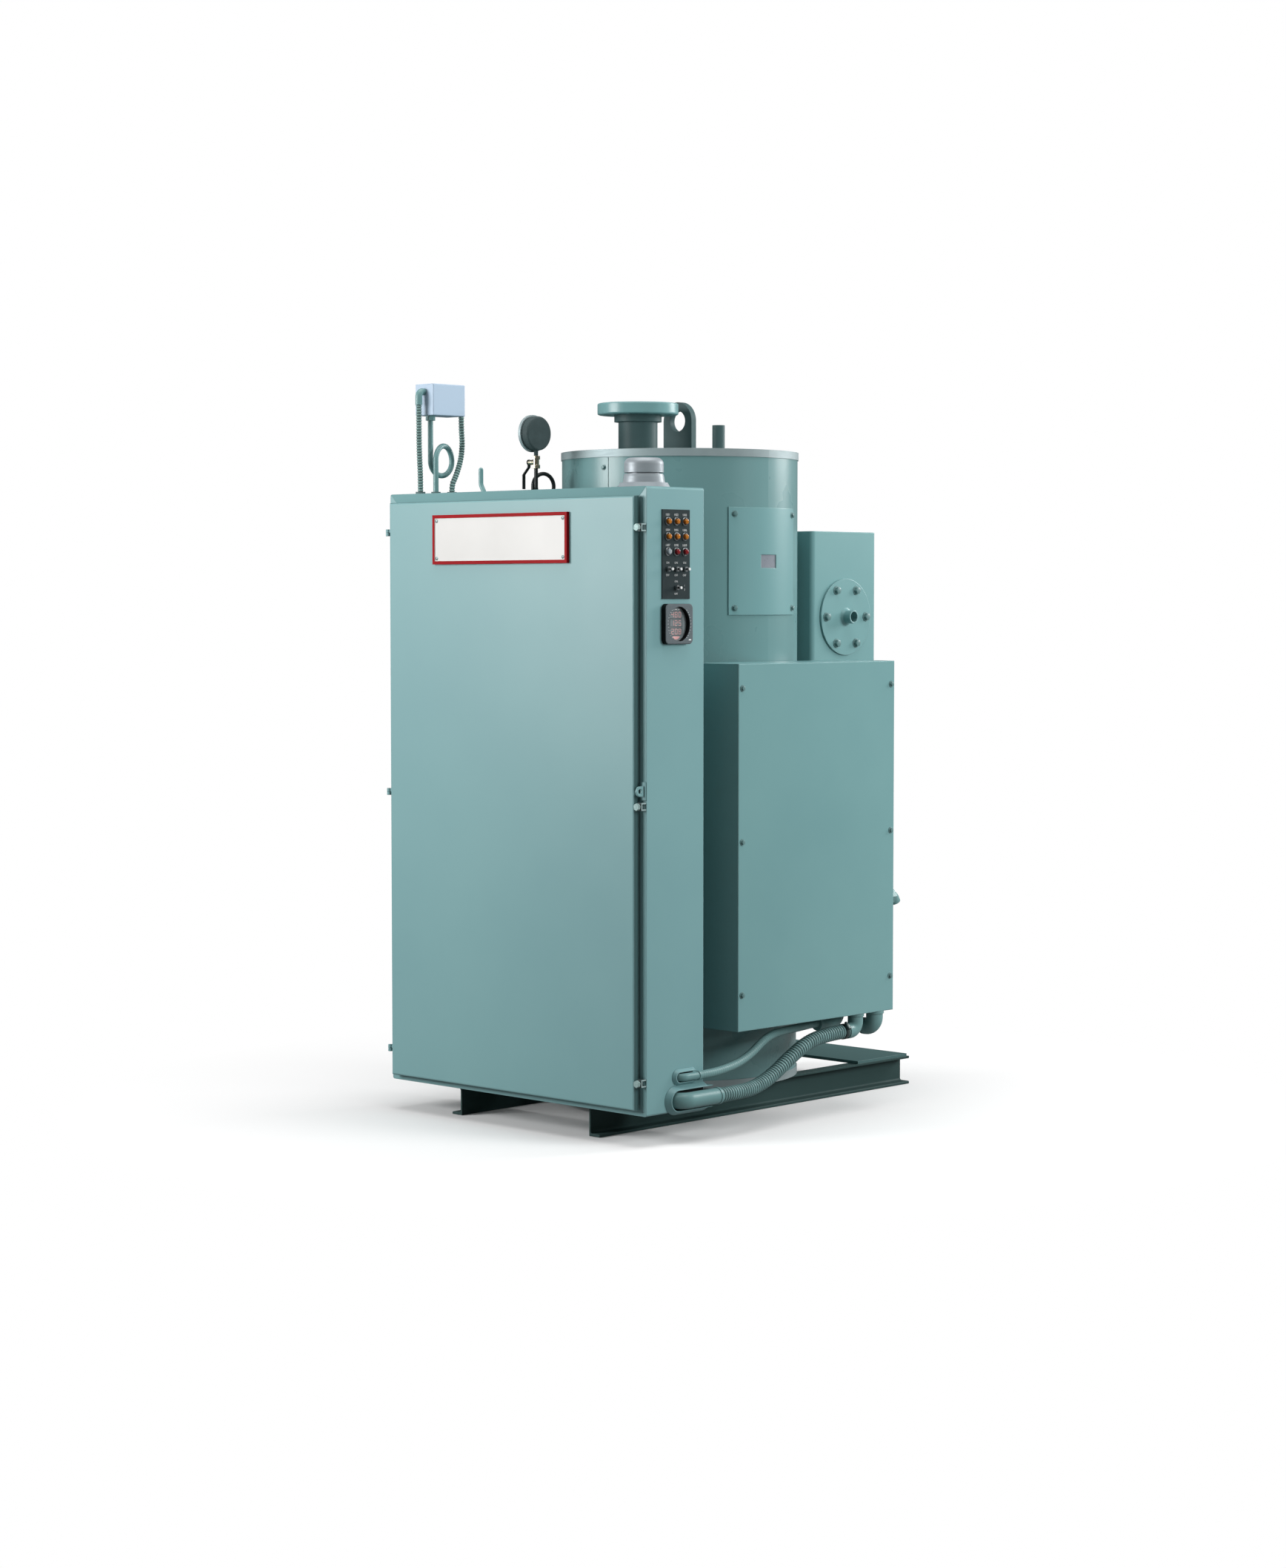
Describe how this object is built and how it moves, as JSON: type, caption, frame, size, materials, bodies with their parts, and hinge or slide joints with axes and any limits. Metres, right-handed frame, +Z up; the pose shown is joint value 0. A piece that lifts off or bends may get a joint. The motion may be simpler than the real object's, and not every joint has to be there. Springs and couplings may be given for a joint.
{
  "type": "skid-mounted electric industrial boiler",
  "caption": "Skid-mounted electric boiler: upright jacketed vessel with flanged outlet and lug, terminal box, rear port box, hinged-door control cabinet, lamp panel, meter, gauge and flexible conduits.",
  "frame": {"origin": "floor level, under the middle of the whole outline", "axes": "+X to the cabinet's lamp panel side, +Y from the cabinet door to the vessel, +Z up"},
  "size_m": [0.963, 1.2834, 1.884],
  "materials": {
    "cabinet_enamel": "semi-gloss blue-green enamel",
    "vessel_enamel": "semi-gloss blue-green enamel",
    "skid_enamel": "dark green enamel",
    "pipe_enamel": "painted pipe and fittings",
    "conduit_sheath": "ribbed flexible sheath",
    "bright_band": "satin bright metal",
    "panel_grey": "dark grey panel",
    "white_panel": "white face",
    "control_blue": "pale blue enamel",
    "amber_lens": "amber lens",
    "red_lens": "red lens",
    "clear_lens": "clear white lens",
    "gauge_black": "black enamel",
    "plated_brass": "plated brass",
    "gasket_rubber": "black foam rubber"
  },
  "bodies": {
    "root": {"cabinet_back": "cabinet_enamel", "cabinet_left_side": "cabinet_enamel", "cabinet_right_side": "cabinet_enamel", "cabinet_roof": "cabinet_enamel", "cabinet_floor": "cabinet_enamel", "cabinet_hinges": "cabinet_enamel", "door_clamps": "cabinet_enamel", "padlock_hasp": "cabinet_enamel", "conduit_hoods": "cabinet_enamel", "vessel_jacket": "vessel_enamel", "vessel_top": "vessel_enamel", "vessel_bottom": "vessel_enamel", "access_cover": "vessel_enamel", "heater_nozzle": "vessel_enamel", "heater_box": "vessel_enamel", "heater_box_cover": "vessel_enamel", "rear_box": "vessel_enamel", "rear_nozzle": "vessel_enamel", "port_plate": "vessel_enamel", "outlet_neck": "vessel_enamel", "outlet_flange": "vessel_enamel", "lifting_lug": "vessel_enamel", "return_stub": "vessel_enamel", "skid_channel_left": "skid_enamel", "skid_channel_right": "skid_enamel", "skid_rear_plate": "skid_enamel", "control_siphon": "pipe_enamel", "control_fittings": "pipe_enamel", "bent_tube": "pipe_enamel", "box_fittings": "pipe_enamel", "conduit_elbows": "pipe_enamel", "roof_seals": "pipe_enamel", "left_flex_conduit": "conduit_sheath", "right_flex_conduit": "conduit_sheath", "large_power_hose": "conduit_sheath", "small_power_hose": "conduit_sheath", "vessel_bands": "bright_band", "vent_base": "bright_band", "vent_cap": "bright_band", "gauge_bezel": "bright_band", "lamp_bezels": "bright_band", "toggle_switches": "bright_band", "lamp_panel": "panel_grey", "power_meter": "panel_grey", "mounting_panel": "white_panel", "control_box": "control_blue", "amber_lamps": "amber_lens", "red_lamps": "red_lens", "white_lamp": "clear_lens", "gauge_case": "gauge_black", "gauge_siphon": "gauge_black", "gauge_cock": "plated_brass"},
    "door": {"cabinet_door": "cabinet_enamel", "door_gasket": "gasket_rubber", "door_hinges": "cabinet_enamel", "nameplate": "white_panel"},
    "lever": {"cock_lever": "gauge_black"}
  },
  "joints": [
    {"name": "door_hinge", "type": "hinge", "parent": "root", "child": "door", "pos_m": [-0.475, -0.62375, 0.83], "axis": [0, 0, -1], "range_deg": [0, 120]},
    {"name": "cock_turn", "type": "hinge", "parent": "root", "child": "lever", "pos_m": [-0.191, -0.39275, 1.6812], "axis": [-1, 0, 0], "range_deg": [0, 90]}
  ]
}
